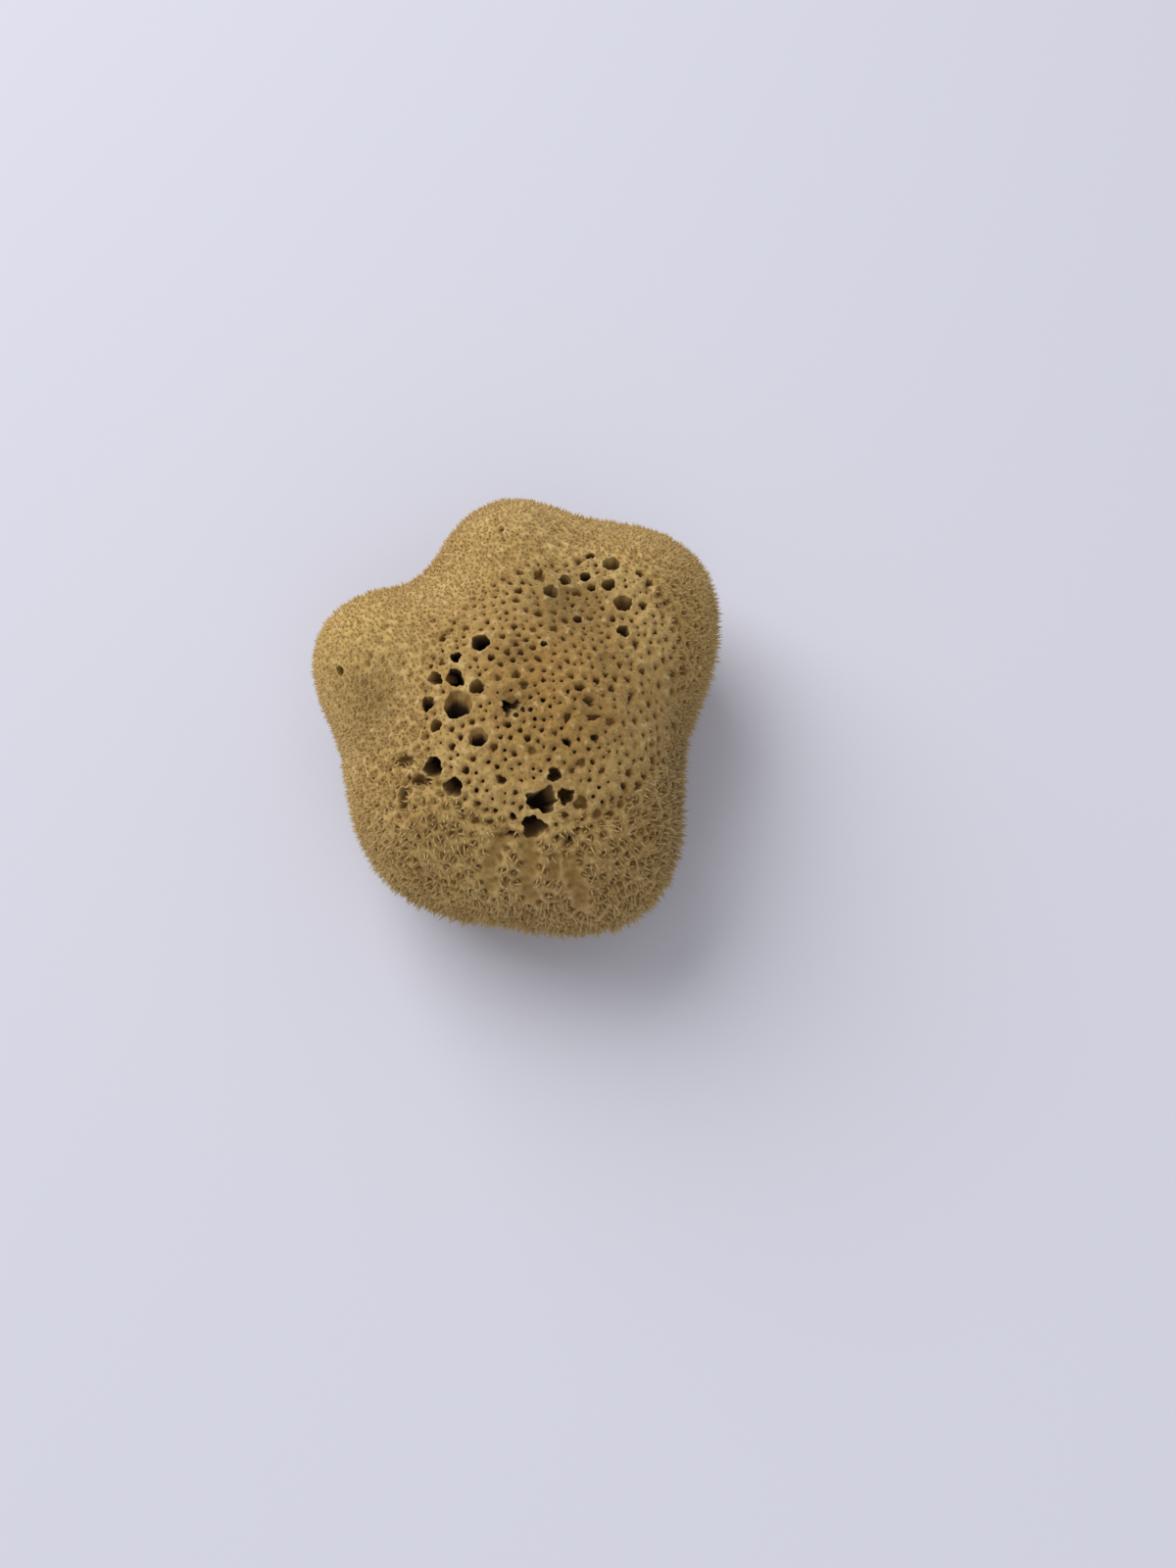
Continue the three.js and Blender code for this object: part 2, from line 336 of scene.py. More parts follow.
OUTLETS = (
    Mouth(-8.5, 6.5, 2.5, 26, lean=(0.0, 0.3)),
    Mouth(-14, -11, 3.9, 24, lean=(-0.3, -0.5), bore=Bore.LEDGE),
    Mouth(-9, -6.5, 2.0, 8, lean=(0.0, -0.2), ragged=0.14),
    Mouth(-15, -3.5, 2.2, 12, lean=(-0.3, 0.3), stretch=1.35, turn=130, ragged=0.16),
    Mouth(-20.5, -3, 1.8, 9, lean=(0.2, 0.3), stretch=1.25, turn=150, ragged=0.18),
    Mouth(-15, 2.5, 1.6, 7, lean=(-0.2, 0.4), ragged=0.2),
    Mouth(-22.5, -9.5, 2.1, 6, lean=(-0.5, 0.0), ragged=0.18),
    Mouth(-20, -16, 1.8, 7, lean=(0.0, -0.2)),
    Mouth(-8.5, -20, 2.6, 18, lean=(-0.1, -0.5), bore=Bore.LEDGE),
    Mouth(-20.5, -27, 2.7, 9, lean=(-0.1, 0.45), ragged=0.14),
    Mouth(-15, -32.5, 2.6, 6.5, lean=(0.1, 0.35), ragged=0.14),
    Mouth(8.5, -35.5, 3.2, 12, lean=(-0.25, -0.25), stretch=1.3, turn=15, ragged=0.24),
    Mouth(14.5, -34.5, 2.2, 5.5, ragged=0.22),
    Mouth(6, -42, 3.2, 9.5, lean=(-0.2, 0.25), ragged=0.2),
    Mouth(11.5, -29.5, 1.9, 5.5, ragged=0.16),
    Mouth(21, 38.5, 1.4, 8, lean=(0.0, 0.3)),
    Mouth(27, 35.5, 2.6, 9, lean=(0.0, -0.2)),
    Mouth(26, 28, 2.0, 9),
    Mouth(30, 22, 2.6, 9, lean=(0.0, -0.2)),
    Mouth(19.5, 31, 1.6, 12, lean=(0.0, 0.2)),
    Mouth(14, 29.5, 1.8, 8, lean=(-0.3, 0.0)),
    Mouth(10, 25, 2.2, 8, lean=(0.0, -0.2)),
    Mouth(30, 13, 1.9, 14, lean=(0.0, 0.2)),
    Mouth(17.5, 16, 1.4, 12, lean=(0.0, 0.3)),
    Mouth(-49, 5, 1.6, 7),
    Mouth(8.5, 6, 1.0, 9, lean=(0.0, 0.3)),
    Mouth(-0.5, -11.6, 1.75, 9, lean=(0.0, 0.3), stretch=1.5, turn=30, ragged=0.45),
    Mouth(1.4, -14.1, 0.8, 8, lean=(0.0, 0.3), stretch=1.3, turn=110, ragged=0.16),
    Mouth(3.3, -12.6, 0.8, 7, lean=(0.0, 0.3), stretch=1.4, turn=130),
    Mouth(5.3, -13.2, 0.75, 6, lean=(0.0, 0.3)),
)

GROOVES = (
    Mouth(-24, -30, 1.5, 3, stretch=2.4, turn=170, ragged=0.2, bore=Bore.DISH),
    Mouth(-28.5, -24, 1.7, 2.4, stretch=2.2, turn=0, ragged=0.2, bore=Bore.DISH),
    Mouth(-29, -34.5, 1.6, 2.6, stretch=2.6, turn=70, ragged=0.2, bore=Bore.DISH),
    Mouth(7, 30.5, 1.7, 2.6, stretch=1.3, turn=90, ragged=0.22, bore=Bore.DISH),
    Mouth(18.5, -36, 2.0, 2.4, ragged=0.25, bore=Bore.DISH),
    Mouth(32, -6.5, 0.8, 6, stretch=2.6, turn=70, ragged=0.25, bore=Bore.PORE),
    Mouth(-4.5, 46.5, 0.9, 5, bore=Bore.PORE),
    Mouth(20.9, -10.4, 1.4, 3.5, lean=(-0.3, 0.0), stretch=1.3, turn=160, ragged=0.2, bore=Bore.PORE),
    Mouth(21.8, -14.5, 0.9, 2.4, stretch=2.4, turn=10, ragged=0.2, bore=Bore.DISH),
    Mouth(0.3, 1.4, 0.95, 6, bore=Bore.PORE),
    Mouth(2.3, 3.6, 0.9, 3, ragged=0.2, bore=Bore.PORE),
    Mouth(-1.2, 3.6, 1.1, 2.2, ragged=0.2, bore=Bore.DISH),
    Mouth(7.1, 1.6, 0.8, 4, stretch=1.6, turn=145, bore=Bore.PORE),
    Mouth(14.9, -21.5, 1.0, 4, stretch=1.5, turn=140, ragged=0.2, bore=Bore.PORE),
    Mouth(18.2, -6.7, 1.1, 3.5, stretch=1.5, turn=15, ragged=0.2, bore=Bore.PORE),
    Mouth(31.2, -1.6, 0.8, 4, stretch=1.6, turn=160, bore=Bore.PORE),
    Mouth(26.9, -5.4, 1.1, 3, ragged=0.2, bore=Bore.PORE),
    Mouth(14.9, -15.2, 1.0, 2.6, stretch=1.5, turn=70, ragged=0.2, bore=Bore.DISH),
    Mouth(14.2, 15.7, 1.1, 2.6, bore=Bore.DISH),
    Mouth(15.3, -45, 0.9, 5, stretch=1.8, turn=130, ragged=0.2, bore=Bore.PORE),
    Mouth(0.7, -43.9, 0.9, 4, stretch=1.8, turn=150, ragged=0.2, bore=Bore.PORE),
)

CUT_CANALS = (
    Mouth(17, 9, 3.0, 7, face=Face.CUT),
    Mouth(-19, 12, 2.4, 7, face=Face.CUT),
    Mouth(6, -21, 3.4, 7, face=Face.CUT),
    Mouth(-24, -14, 2.0, 7, face=Face.CUT),
    Mouth(29, -9, 2.2, 7, face=Face.CUT),
    Mouth(4, 31, 2.4, 7, face=Face.CUT),
)


@dataclass(frozen=True)
class Skin:
    """The bare skin that the coat grows on: corner places and normals of its triangles, and its pits."""

    corners: np.ndarray
    normals: np.ndarray
    pits: kdtree.KDTree

    def scatter(self, rng: np.random.Generator, count: int) -> tuple[np.ndarray, np.ndarray]:
        """Drops points evenly over the skin.

        Args:
            rng: The seeded source of chance.
            count: How many points to drop.

        Returns:
            Rows of places and rows of outward normals.
        """
        edges = self.corners[:, 1:] - self.corners[:, :1]
        areas = np.linalg.norm(np.cross(edges[:, 0], edges[:, 1]), axis=1)
        chosen = rng.choice(len(areas), count, p=areas / areas.sum())
        weights = rng.dirichlet((1.0, 1.0, 1.0), count)[:, :, None]
        places = (self.corners[chosen] * weights).sum(axis=1)
        return places, unit((self.normals[chosen] * weights).sum(axis=1))


def keep_apart(places: np.ndarray, gaps: np.ndarray) -> np.ndarray:
    """Picks points that stay clear of each other, taking them in order.

    Args:
        places: Rows of candidate points.
        gaps: The least distance that each wants to those taken before it.

    Returns:
        The indices of the points that were taken.
    """
    size = float(gaps.max())
    cells = np.floor(places / size).astype(int)
    taken: dict[tuple[int, int, int], list[int]] = {}
    kept: list[int] = []
    beside = [(i, j, k) for i in (-1, 0, 1) for j in (-1, 0, 1) for k in (-1, 0, 1)]
    spots = places.tolist()
    for index, (a, b, c) in enumerate(cells.tolist()):
        x, y, z = spots[index]
        gap = float(gaps[index]) ** 2
        clear = True
        for i, j, k in beside:
            for other in taken.get((a + i, b + j, c + k), ()):
                u, v, w = spots[other]
                if (x - u) ** 2 + (y - v) ** 2 + (z - w) ** 2 < gap:
                    clear = False
                    break
            if not clear:
                break
        if clear:
            taken.setdefault((a, b, c), []).append(index)
            kept.append(index)
    return np.array(kept, dtype=int)


Value = Union["Signal", float, tuple, bpy.types.NodeSocket]


class Signal:
    """A shader socket that takes part in arithmetic, each operation adding a Math node."""

    def __init__(self, bench: "Bench", socket: bpy.types.NodeSocket) -> None:
        """Holds the socket and the bench that its nodes are made on."""
        self.bench = bench
        self.socket = socket

    def _math(self, operation: str, first: Value, second: Value) -> "Signal":
        """Adds one Math node and returns its result."""
        return self.bench.node("ShaderNodeMath", {"operation": operation}, {0: first, 1: second})

    def __add__(self, other: Value) -> "Signal":
        """Returns the sum."""
        return self._math("ADD", self, other)

    def __radd__(self, other: Value) -> "Signal":
        """Returns the sum with a number on the left."""
        return self._math("ADD", other, self)

    def __sub__(self, other: Value) -> "Signal":
        """Returns the difference."""
        return self._math("SUBTRACT", self, other)

    def __rsub__(self, other: Value) -> "Signal":
        """Returns the difference from a number on the left."""
        return self._math("SUBTRACT", other, self)

    def __mul__(self, other: Value) -> "Signal":
        """Returns the product."""
        return self._math("MULTIPLY", self, other)

    def __rmul__(self, other: Value) -> "Signal":
        """Returns the product with a number on the left."""
        return self._math("MULTIPLY", other, self)


class Bench:
    """The node tree of one material, with short ways to add to it."""

    def __init__(self, name: str) -> None:
        """Makes an empty material of that name."""
        self.material = bpy.data.materials.new(name)
        self.material.use_nodes = True
        self.tree = self.material.node_tree
        self.tree.nodes.clear()

    def feed(self, socket: bpy.types.NodeSocket, value: Value) -> None:
        """Links a signal to a socket, or sets the socket's own value."""
        if isinstance(value, Signal):
            self.tree.links.new(value.socket, socket)
        else:
            socket.default_value = value

    def node(self, kind: str, settings: dict, inputs: dict, output: Union[int, str] = 0) -> Signal:
        """Adds one node.

        Args:
            kind: The node's type.
            settings: Its own properties, set first.
            inputs: Values or signals by socket name or number.
            output: Which output to return.

        Returns:
            That output as a signal.
        """
        made = self.tree.nodes.new(kind)
        for name, value in settings.items():
            setattr(made, name, value)
        for key, value in inputs.items():
            self.feed(made.inputs[key], value)
        return Signal(self, made.outputs[output])

    def place(self) -> Signal:
        """Returns the place on the piece, in metres."""
        return self.node("ShaderNodeTexCoord", {}, {}, "Object")

    def attribute(self, name: str) -> Signal:
        """Returns a number that the piece's mesh holds."""
        return self.node("ShaderNodeAttribute", {"attribute_name": name}, {}, "Fac")

    def grain(self, place: Signal, size: float, detail: float = 3.0, roughness: float = 0.5) -> Signal:
        """Returns noise whose grains are about that many millimetres across."""
        inputs = {"Vector": place, "Scale": 1 / (size * MM), "Detail": detail, "Roughness": roughness}
        return self.node("ShaderNodeTexNoise", {}, inputs, 0)

    def ease(self, value: Signal, low: float, high: float) -> Signal:
        """Returns 0 below low, 1 above high, and a soft climb between them."""
        inputs = {"Value": value, "From Min": low, "From Max": high}
        return self.node("ShaderNodeMapRange", {"interpolation_type": "SMOOTHSTEP"}, inputs, 0)

    def mix(self, share: Value, first: Value, second: Value) -> Signal:
        """Returns the colour that share of the way from the first to the second."""
        settings = {"data_type": "RGBA", "clamp_factor": True}
        return self.node("ShaderNodeMix", settings, {0: share, 6: first, 7: second}, 2)

    def near(self, place: Signal, centre: tuple[float, float, float], reach: float) -> Signal:
        """Returns 1 at a centre, fading to 0 a reach away from it, both in millimetres."""
        point = tuple(part * MM for part in centre)
        gap = self.node("ShaderNodeVectorMath", {"operation": "DISTANCE"}, {0: place, 1: point}, "Value")
        return 1.0 - self.ease(gap, 0.0, reach * MM)

    def surface(self, inputs: dict) -> bpy.types.Material:
        """Ends the tree in a Principled shader with these inputs and returns the material."""
        shader = self.node("ShaderNodeBsdfPrincipled", {}, inputs, 0)
        end = self.tree.nodes.new("ShaderNodeOutputMaterial")
        self.feed(end.inputs["Surface"], shader)
        return self.material


@dataclass(frozen=True)
class Tint:
    """A patch of another colour, used for painted light and shade: its centre and reach in millimetres, and
    how strongly it shows.
    """

    centre: tuple[float, float, float]
    reach: float
    colour: Colour
    strength: float


@dataclass(frozen=True)
class SpongeFinish:
    """The dry, matte, sandy skin of the sponge, with its painted shade and painted highlights."""

    sand: Colour = srgb(202, 172, 110)
    tan: Colour = srgb(186, 154, 93)
    # Ochre is the colour of random specks and also painted shade in low spots and at tuft roots; umber is
    # painted shade deep in the canals.
    ochre: Colour = srgb(138, 105, 52)
    shade_umber: Colour = srgb(54, 37, 13)
    # Pale is painted highlight, on the raised grain of the body and on the tips of the coat.
    pale: Colour = srgb(220, 194, 140)
    tints_and_shading: tuple[Tint, ...] = (
        # Painted light and shade: the crown, the right flank and the near flank are darkened and the left
        # lobe lightened as the light falls on them; the small dark patches are painted shade in the hollows
        # and pore clusters.
        Tint((12, -4, 70), 50, srgb(154, 116, 57), 0.85),
        Tint((55, -22, 40), 46, srgb(138, 114, 72), 0.8),
        Tint((-44, 15, 45), 34, srgb(210, 176, 98), 0.6),
        Tint((34, -44, 34), 52, srgb(170, 144, 98), 0.6),
        Tint((17, 22, 68), 21, srgb(118, 92, 48), 0.8),
        Tint((-38, -8, 55), 19, srgb(150, 124, 74), 0.65),
        Tint((8, -54, 44), 24, srgb(166, 136, 94), 0.5),
        Tint((1, -11, 71), 9, srgb(108, 82, 42), 0.6),
        Tint((2, 4, 72), 8, srgb(112, 90, 52), 0.5),
        Tint((26, 3, 70), 9, srgb(120, 94, 50), 0.5),
        Tint((20, -11, 74), 8, srgb(120, 92, 46), 0.4),
    )
    roughness: float = 0.92
    roughness_drift: float = 0.06
    specular: float = 0.2
    sheen: float = 0.1
    sheen_roughness: float = 0.6
    drift_size: float = 22.0
    drift_range: tuple[float, float] = (0.35, 0.68)
    speck_size: float = 1.3
    speck_range: tuple[float, float] = (0.42, 0.72)
    speck_share: float = 0.45
    crest_highlight_rise: float = 0.8
    crest_highlight_share: float = 0.45
    ochre_shade_depth: float = 3.5
    umber_shade_range: tuple[float, float] = (4.0, 13.0)
    fuzz_size: float = 0.5
    clump_size: float = 1.4
    clump_share: float = 0.8
    fuzz_strength: float = 0.5
    fuzz_height: float = 0.35
    root_shade_end: float = 0.75
    tip_start: float = 0.6
    tip_highlight_share: float = 0.4

    def skin_colour(self, bench: Bench, place: Signal) -> Signal:
        """Mixes the colour of the outer skin, which drifts from sand to tan over the body, with patches of
        painted light and shade and random ochre specks.
        """
        drift = bench.ease(bench.grain(place, self.drift_size), *self.drift_range)
        colour = bench.mix(drift, self.sand, self.tan)
        # Painted light and shade laid over the skin colour.
        for tint in self.tints_and_shading:
            share = bench.near(place, tint.centre, tint.reach) * tint.strength
            colour = bench.mix(share, colour, tint.colour)
        speck = bench.ease(bench.grain(place, self.speck_size, 3.0, 0.65), *self.speck_range)
        return bench.mix(speck * self.speck_share, colour, self.ochre)

    def settings(self, bench: Bench, place: Signal) -> dict:
        """Returns the Principled values that the body and the coat share."""
        return {
            "Roughness": self.roughness + bench.grain(place, 1.0) * self.roughness_drift,
            "Specular IOR Level": self.specular,
            "Sheen Weight": self.sheen,
            "Sheen Roughness": self.sheen_roughness,
        }

    def body(self) -> bpy.types.Material:
        """Makes the body's material, with painted shade that darkens it with depth below the skin and
        painted highlights on its raised grain.
        """
        bench = Bench("sponge_skin")
        place = bench.place()
        depth = bench.attribute(SHADE_DEPTH)
        skin = self.skin_colour(bench, place)
        # Painted highlight: where the shade depth is negative, on raised grain, the colour is paled.
        raised = bench.ease(depth * -1.0, 0.0, self.crest_highlight_rise)
        crest_highlight = bench.mix(raised * self.crest_highlight_share, skin, self.pale)
        # Painted shade: the colour turns ochre, then dark umber, the larger the shade depth, standing in
        # for the shade in pits, pores and canals.
        shaded = bench.mix(bench.ease(depth, 0.0, self.ochre_shade_depth), crest_highlight, self.ochre)
        deep = bench.mix(bench.ease(depth, *self.umber_shade_range), shaded, self.shade_umber)
        clumps = bench.grain(place, self.clump_size, 2.0) * self.clump_share
        fuzz = bench.grain(place, self.fuzz_size, 3.0, 0.6) + clumps
        inputs = {"Height": fuzz, "Strength": self.fuzz_strength, "Distance": self.fuzz_height * MM}
        bump = bench.node("ShaderNodeBump", {}, inputs)
        return bench.surface({"Base Color": deep, "Normal": bump, **self.settings(bench, place)})

    def coat(self) -> bpy.types.Material:
        """Makes the coat's material, with painted shade that turns its roots ochre and painted highlights
        that pale its tips.
        """
        bench = Bench("sponge_coat")
        place = bench.place()
        rise = bench.attribute(RISE)
        skin = self.skin_colour(bench, place)
        # Painted shade at the roots, where the tufts shade each other, and painted highlight at the tips.
        root_shaded = bench.mix(bench.ease(rise, 0.0, self.root_shade_end), self.ochre, skin)
        tip_highlighted = bench.mix(bench.ease(rise, self.tip_start, 1.0) * self.tip_highlight_share, root_shaded, self.pale)
        return bench.surface({"Base Color": tip_highlighted, **self.settings(bench, place)})


def add_piece(name: str, mesh: bpy.types.Mesh, material: bpy.types.Material) -> bpy.types.Object:
    """Puts a mesh in the scene as a piece that rides on the sponge's body.

    Args:
        name: The piece's name.
        mesh: Its finished mesh, in metres.
        material: Its finish.

    Returns:
        The new object.
    """
    mesh.materials.append(material)
    piece = bpy.data.objects.new(name, mesh)
    bpy.context.scene.collection.objects.link(piece)
    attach(piece, CAD_BODY)
    mesh.calc_loop_triangles()
    LOG.info("%s: %d triangles", name, len(mesh.loop_triangles))
    return piece


@dataclass
class SpongeBody:
    """The pored body: a fine ball drawn out to the form, with relief and with mouths sunk into it.

    It is cut level into two closed halves, the crown and the foot, to keep each piece small enough.
    """

    form: SpongeForm
    ball_subdivisions: int = 8
    crown_pull: float = 0.18
    split_height: float = 43.5
    cap_inset: float = 0.97
    cap_step: float = 0.6
    snap: float = 0.2
    weld: float = 0.03
    pore_tries: int = 9000
    pore_least: float = 0.45
    pore_most: float = 1.5
    pore_wall: float = 1.0
    pore_depth: float = 2.6
    deep_share: float = 0.2
    pit_tries: int = 30000
    pit_gap: float = 2.8
    pit_depth: float = 1.6
    pit_width: float = 1.0
    # Painted shade in the pits and in the sunken lips round pores; the furrows are darkened; the grain
    # darkens low spots and pales high ones as painted shade and highlight.
    pit_shade: float = 5.5
    flank_sink: float = 0.5
    lip_width: float = 0.62
    lip_shade: float = 3.2
    furrow_depth: float = 1.3
    furrow_tone: float = 2.0
    grain_shade_and_highlight: float = 4.0
    shade_gain: float = 4.0
    pore_reach: float = 1.08
    pore_skew: float = 1.7
    pore_lean: float = 0.12
    pore_stretch: float = 0.5
    pore_ragged: float = 0.16
    deep_gain: float = 3.0
    pit_bareness: float = 0.6
    pit_height: float = 1.0
    pit_spread: tuple[float, float] = (0.75, 1.4)
    pit_softest: float = 0.2
    bump_sizes: tuple[float, float, float] = (5.0, 1.9, 0.9)
    bump_rises: tuple[float, float, float] = (0.4, 0.3, 0.16)
    deepest_lip: float = 0.9
    foot_fade: float = 4.0
    skin_height: float = 0.5
    rim_wave: float = 0.6
    rim_slack: float = 1.0001
    wobble_pitch: float = 0.7
    wobble_share: float = 0.08
    seed: int = 11

    def pores(self) -> list[Mouth]:
        """Scatters small pores over the crown field, clear of the outlets and of each other."""
        rng = np.random.default_rng(self.seed)
        made: list[Mouth] = []
        for _ in range(self.pore_tries):
            reach = self.pore_reach * math.sqrt(rng.random())
            x, y = self.form.field.place(reach, rng.random() * math.tau)
            size = rng.random() ** self.pore_skew
            radius = self.pore_least + (self.pore_most - self.pore_least) * size
            wall = self.pore_wall * (0.75 + 0.5 * rng.random())
            others = [*OUTLETS, *GROOVES, *made]
            if all(math.hypot(x - o.x, y - o.y) > radius + o.radius * o.stretch + wall for o in others):
                lean = tuple(rng.normal(0.0, self.pore_lean, 2))
                stretch = 1 + self.pore_stretch * rng.random() ** 2
                turn = 180 * rng.random()
                depth = self.pore_depth * (0.5 + 0.8 * rng.random())
                if rng.random() < self.deep_share:
                    depth *= self.deep_gain
                shape = (radius / stretch**0.5, depth, lean, stretch, turn, self.pore_ragged)
                made.append(Mouth(x, y, *shape, Bore.PORE))
        return made

    def _ball(self) -> bmesh.types.BMesh:
        """Makes the ball of directions, a little finer on the crown."""
        ball = bmesh.new()
        bmesh.ops.create_icosphere(ball, subdivisions=self.ball_subdivisions, radius=1.0)
        for vert in ball.verts:
            height = vert.co.z + self.crown_pull * (1 - vert.co.z**2)
            spread = math.sqrt(max(0.0, 1 - height**2))
            flat = math.hypot(vert.co.x, vert.co.y)
            if flat > 0:
                vert.co = (vert.co.x / flat * spread, vert.co.y / flat * spread, height)
        return ball

    def _settle(self, ball: bmesh.types.BMesh, places: np.ndarray) -> None:
        """Moves every vertex of the ball to its place."""
        for vert, place in zip(ball.verts, places.tolist()):
            vert.co = place
        ball.normal_update()

    def _seats(self, mouths: list[Mouth]) -> list[tuple[Vector, Vector, Vector, Vector]]:
        """Finds where each mouth sits.

        Args:
            mouths: The mouths in order.

        Returns:
            For each mouth its centre, outward normal, long axis and short axis.
        """
        plan = np.array([(m.x, m.y) for m in mouths])
        centres = self.form.crown_points(plan)
        normals = self.form.crown_normals(plan)
        seats = []
        for mouth, centre, normal in zip(mouths, centres, normals):
            if mouth.face is Face.CUT:
                centre = np.array((mouth.x, mouth.y, 0.0))
                normal = np.array((0.0, 0.0, -1.0))
            outward = Vector(normal)
            turn = math.radians(mouth.turn)
            long = Vector((math.cos(turn), math.sin(turn), 0.0))
            long = (long - outward * long.dot(outward)).normalized()
            seats.append((Vector(centre), outward, long, outward.cross(long)))
        return seats

    def _open(self, ball: bmesh.types.BMesh, mouths: list[Mouth], seats: list) -> np.ndarray:
        """Draws the rim of every mouth into the mesh and marks what lies inside.

        Args:
            ball: The mesh, already drawn out to the form.
            mouths: The mouths in order.
            seats: Where each of them sits.

        Returns:
            How far the lips raise each vertex.
        """
        inside = ball.verts.layers.int.new("mouth")
        ball.verts.ensure_lookup_table()
        tree = kdtree.KDTree(len(ball.verts))
        for index, vert in enumerate(ball.verts):
            tree.insert(vert.co, index)
        tree.balance()
        lips = np.zeros(len(ball.verts))
        for number, (mouth, (centre, outward, long, short)) in enumerate(zip(mouths, seats), 1):
            reach = mouth.radius * mouth.stretch * (1 + 2 * mouth.ragged) + 3 * self.lip_width
            for _, index, _ in tree.find_range(centre, reach):
                vert = ball.verts[index]
                offset = vert.co - centre
                along = offset.dot(long) / mouth.stretch
                across = offset.dot(short)
                gap = math.hypot(along, across)
                angle = math.atan2(across, along)
                wave = sum(high * math.sin(n * angle + turn * number) for n, high, turn in RIM_WAVES)
                rim = mouth.radius * (1 + self.rim_wave * mouth.ragged * wave)
                if gap > 0 and abs(gap - rim) < self.snap:
                    level = offset.dot(outward)
                    stretch = rim / gap
                    vert.co = centre + long * (along * stretch * mouth.stretch)
                    vert.co += short * (across * stretch) + outward * level
                    gap = rim
                if gap <= rim * self.rim_slack:
                    vert[inside] = number
                lips[index] += mouth.bore.value.lip * math.exp(-(((gap - rim) / self.lip_width) ** 2))
        ball.normal_update()
        return lips

    def _arrays(self, ball: bmesh.types.BMesh) -> tuple[np.ndarray, np.ndarray, np.ndarray]:
        """Returns the places and normals of the ball's vertices, and the corners of its triangles."""
        ball.verts.index_update()
        places = np.array([v.co for v in ball.verts])
        normals = np.array([v.normal for v in ball.verts])
        return places, normals, np.array([[v.index for v in f.verts] for f in ball.faces])

    def _pits(self, ball: bmesh.types.BMesh) -> kdtree.KDTree:
        """Scatters the pits that dimple the tufted skin."""
        rng = np.random.default_rng(self.seed + 1)
        points, normals, faces = self._arrays(ball)
        places, _ = Skin(points[faces], normals[faces], kdtree.KDTree(0)).scatter(rng, self.pit_tries)
        tufted = self.form.bareness(places) < self.pit_bareness
        places = places[tufted & (places[:, 2] > self.pit_height)]
        places = places[keep_apart(places, self.pit_gap * rng.uniform(*self.pit_spread, len(places)))]
        tree = kdtree.KDTree(len(places))
        for index, place in enumerate(places):
            tree.insert(place, index)
        tree.balance()
        return tree

    def _relief(self, ball: bmesh.types.BMesh, lips: np.ndarray, pits: kdtree.KDTree) -> np.ndarray:
        """Roughens the surface and marks the painted shade of its low spots and the painted highlight of
        its high grain.

        Args:
            ball: The mesh on the smooth form.
            lips: How far the lips of the mouths raise each vertex.
            pits: The pits of the tufted skin.

        Returns:
            The roughened places, with everything below the cut brought up to it.
        """
        points, normals, _ = self._arrays(ball)
        bare = self.form.bareness(points)
        shag = self.form.shag(points)
        gaps = np.array([pits.find(p)[2] for p in points])
        pitted = (1 - bare) * np.exp(-((gaps / self.pit_width) ** 2))
        pitted *= self.pit_softest + (1 - self.pit_softest) * shag**2
        furrowed = self.form.furrow_share(points)
        pitted *= 1 - furrowed
        coarse, middle, fine = (
            high * np.array([noise.noise(Vector(p) / size) for p in points])
            for size, high in zip(self.bump_sizes, self.bump_rises)
        )
        grain = middle + fine
        rise = coarse + grain + np.maximum(lips, -self.deepest_lip)
        rise -= (1 - bare) * self.flank_sink * shag
        rise -= self.pit_depth * pitted + self.furrow_depth * furrowed
        rise *= smoothstep(points[:, 2] / self.foot_fade)
        depth = ball.verts.layers.float.new(SHADE_DEPTH)
        # Painted shade in pits and sunken lips, darker furrows, and painted shade and highlight from the
        # grain, all held in the shade depth.
        deep = self.pit_shade * pitted + self.furrow_tone * furrowed
        deep += self.lip_shade * np.maximum(-lips, 0.0) - self.grain_shade_and_highlight * grain
        for vert, value in zip(ball.verts, deep.tolist()):
            vert[depth] = value
        moved = points + normals * rise[:, None]
        moved[:, 2] = np.maximum(moved[:, 2], 0.0)
        return moved

    def _skin(self, ball: bmesh.types.BMesh, pits: kdtree.KDTree) -> Skin:
        """Takes the corners and normals of all the skin that isn't a mouth or the cut."""
        inside = ball.verts.layers.int["mouth"]
        points, normals, faces = self._arrays(ball)
        marked = np.array([v[inside] > 0 for v in ball.verts])
        outer = ~marked[faces].any(axis=1)
        outer &= points[faces][:, :, 2].mean(axis=1) > self.skin_height
        return Skin(points[faces[outer]], normals[faces[outer]], pits)

